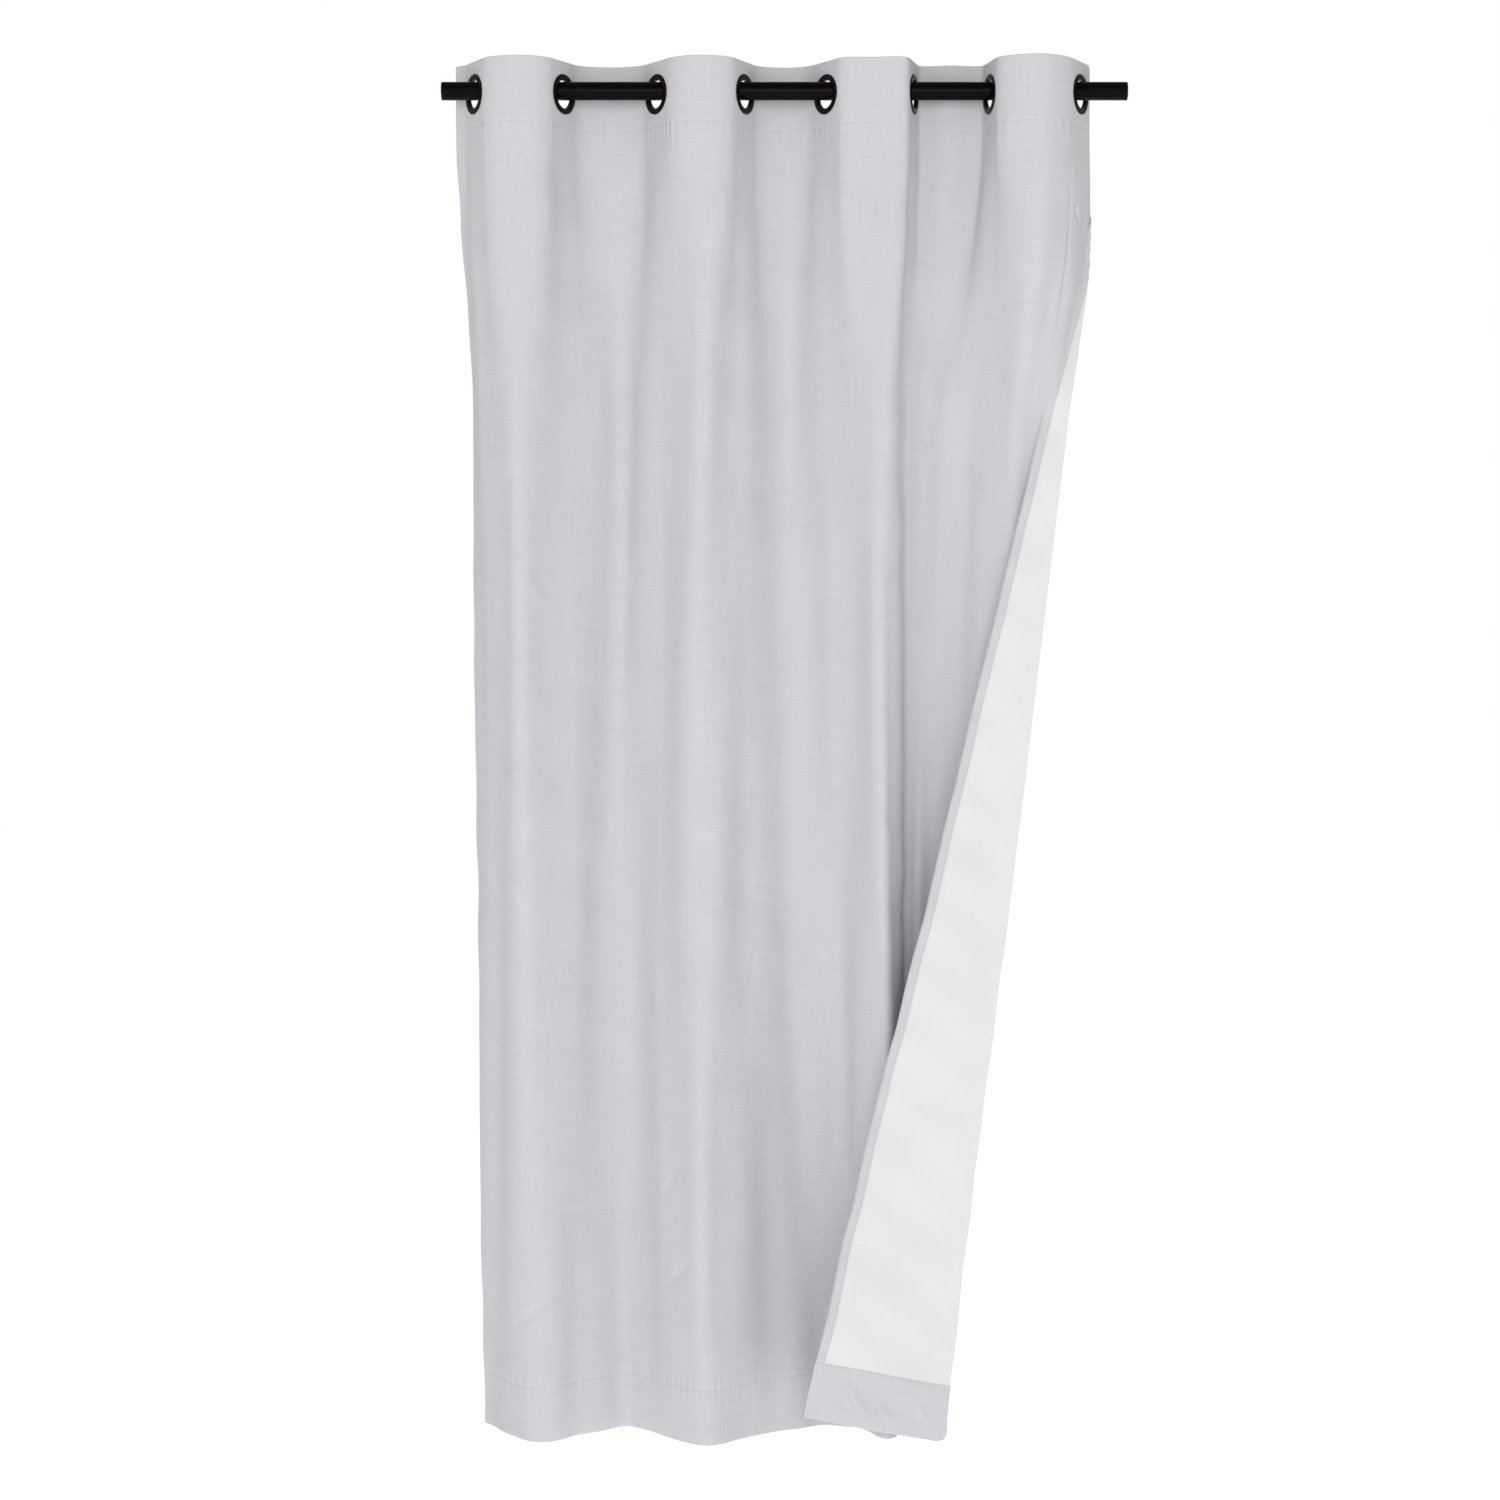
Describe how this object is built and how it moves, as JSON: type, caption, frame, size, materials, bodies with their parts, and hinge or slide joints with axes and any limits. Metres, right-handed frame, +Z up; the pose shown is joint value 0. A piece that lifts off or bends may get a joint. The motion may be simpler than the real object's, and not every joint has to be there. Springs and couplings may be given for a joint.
{
  "type": "curtain panel",
  "caption": "Eyelet curtain panel with white backing, hung in soft pleats on a dark rod, a lower corner folded over to show the lining.",
  "frame": {"origin": "centre of the rod's left end face", "axes": "+X along the rod from its left end to its right end as seen from the room, +Z up along the hanging cloth, the room is towards -Y"},
  "size_m": [1.0538, 0.1598, 2.1336],
  "materials": {
    "face_cotton": "light grey woven cotton, matt",
    "thermal_lining": "white coated lining, smooth and matt",
    "buckram": "stiff white heading tape",
    "dark_bronze": "dark bronze enamel, satin",
    "cap_plastic": "black moulded plastic, satin"
  },
  "bodies": {
    "rod": {"curtain_rod": "dark_bronze", "rod_end_cap_left": "cap_plastic", "rod_end_cap_right": "cap_plastic"},
    "pleat_1": {"face_pleat_1": "face_cotton", "header_stiffener_pleat_1": "buckram", "header_band_pleat_1": "face_cotton", "lining_pleat_1": "thermal_lining", "bottom_hem_pleat_1": "face_cotton", "side_hem_left": "face_cotton", "grommet_front_1": "dark_bronze", "grommet_washer_1": "dark_bronze"},
    "pleat_2": {"face_pleat_2": "face_cotton", "header_stiffener_pleat_2": "buckram", "header_band_pleat_2": "face_cotton", "lining_pleat_2": "thermal_lining", "bottom_hem_pleat_2": "face_cotton", "grommet_front_2": "dark_bronze", "grommet_washer_2": "dark_bronze"},
    "pleat_3": {"face_pleat_3": "face_cotton", "header_stiffener_pleat_3": "buckram", "header_band_pleat_3": "face_cotton", "lining_pleat_3": "thermal_lining", "bottom_hem_pleat_3": "face_cotton", "grommet_front_3": "dark_bronze", "grommet_washer_3": "dark_bronze"},
    "pleat_4": {"face_pleat_4": "face_cotton", "header_stiffener_pleat_4": "buckram", "header_band_pleat_4": "face_cotton", "lining_pleat_4": "thermal_lining", "bottom_hem_pleat_4": "face_cotton", "grommet_front_4": "dark_bronze", "grommet_washer_4": "dark_bronze"},
    "pleat_5": {"face_pleat_5": "face_cotton", "header_stiffener_pleat_5": "buckram", "header_band_pleat_5": "face_cotton", "lining_pleat_5": "thermal_lining", "bottom_hem_pleat_5": "face_cotton", "grommet_front_5": "dark_bronze", "grommet_washer_5": "dark_bronze"},
    "pleat_6": {"face_pleat_6": "face_cotton", "header_stiffener_pleat_6": "buckram", "header_band_pleat_6": "face_cotton", "lining_pleat_6": "thermal_lining", "bottom_hem_pleat_6": "face_cotton", "grommet_front_6": "dark_bronze", "grommet_washer_6": "dark_bronze"},
    "leading": {"face_leading": "face_cotton", "header_stiffener_leading": "buckram", "header_band_leading": "face_cotton", "lining_leading": "thermal_lining", "bottom_hem_leading": "face_cotton", "side_hem_leading": "face_cotton", "grommet_front_7": "dark_bronze", "grommet_washer_7": "dark_bronze", "grommet_front_8": "dark_bronze", "grommet_washer_8": "dark_bronze"},
    "corner_flap": {"face_flap": "face_cotton", "lining_flap": "thermal_lining", "bottom_hem_flap": "face_cotton", "side_hem_flap": "face_cotton"}
  },
  "joints": [
    {"name": "draw", "type": "slide", "parent": "rod", "child": "leading", "axis": [1, 0, 0], "range_m": [-0.015, 0.045]},
    {"name": "gather", "type": "hinge", "parent": "leading", "child": "pleat_6", "pos_m": [0.72459, 0, 0], "axis": [0, 0, 1], "range_deg": [0, 20]},
    {"name": "fold_5", "type": "hinge", "parent": "pleat_6", "child": "pleat_5", "pos_m": [0.65805, -0.01924, 0], "axis": [0, 0, 1], "range_deg": [-40, 0]},
    {"name": "fold_4", "type": "hinge", "parent": "pleat_5", "child": "pleat_4", "pos_m": [0.52832, 0.04165, 0], "axis": [0, 0, 1], "range_deg": [0, 40]},
    {"name": "fold_3", "type": "hinge", "parent": "pleat_4", "child": "pleat_3", "pos_m": [0.39798, -0.05027, 0], "axis": [0, 0, 1], "range_deg": [-40, 0]},
    {"name": "fold_2", "type": "hinge", "parent": "pleat_3", "child": "pleat_2", "pos_m": [0.25886, 0.04682, 0], "axis": [0, 0, 1], "range_deg": [0, 40]},
    {"name": "fold_1", "type": "hinge", "parent": "pleat_2", "child": "pleat_1", "pos_m": [0.11904, -0.03993, 0], "axis": [0, 0, 1], "range_deg": [-40, 0]},
    {"name": "turn_corner", "type": "hinge", "parent": "leading", "child": "corner_flap", "pos_m": [0.7758, -0.04186, -2.08858], "axis": [0.1157, 0.0049, 0.9933], "range_deg": [0, 170]}
  ],
  "couplings": [
    {"joint": "fold_5", "follows": "gather", "ratio": -2},
    {"joint": "fold_4", "follows": "gather", "ratio": 2},
    {"joint": "fold_3", "follows": "gather", "ratio": -2},
    {"joint": "fold_2", "follows": "gather", "ratio": 2},
    {"joint": "fold_1", "follows": "gather", "ratio": -2}
  ]
}
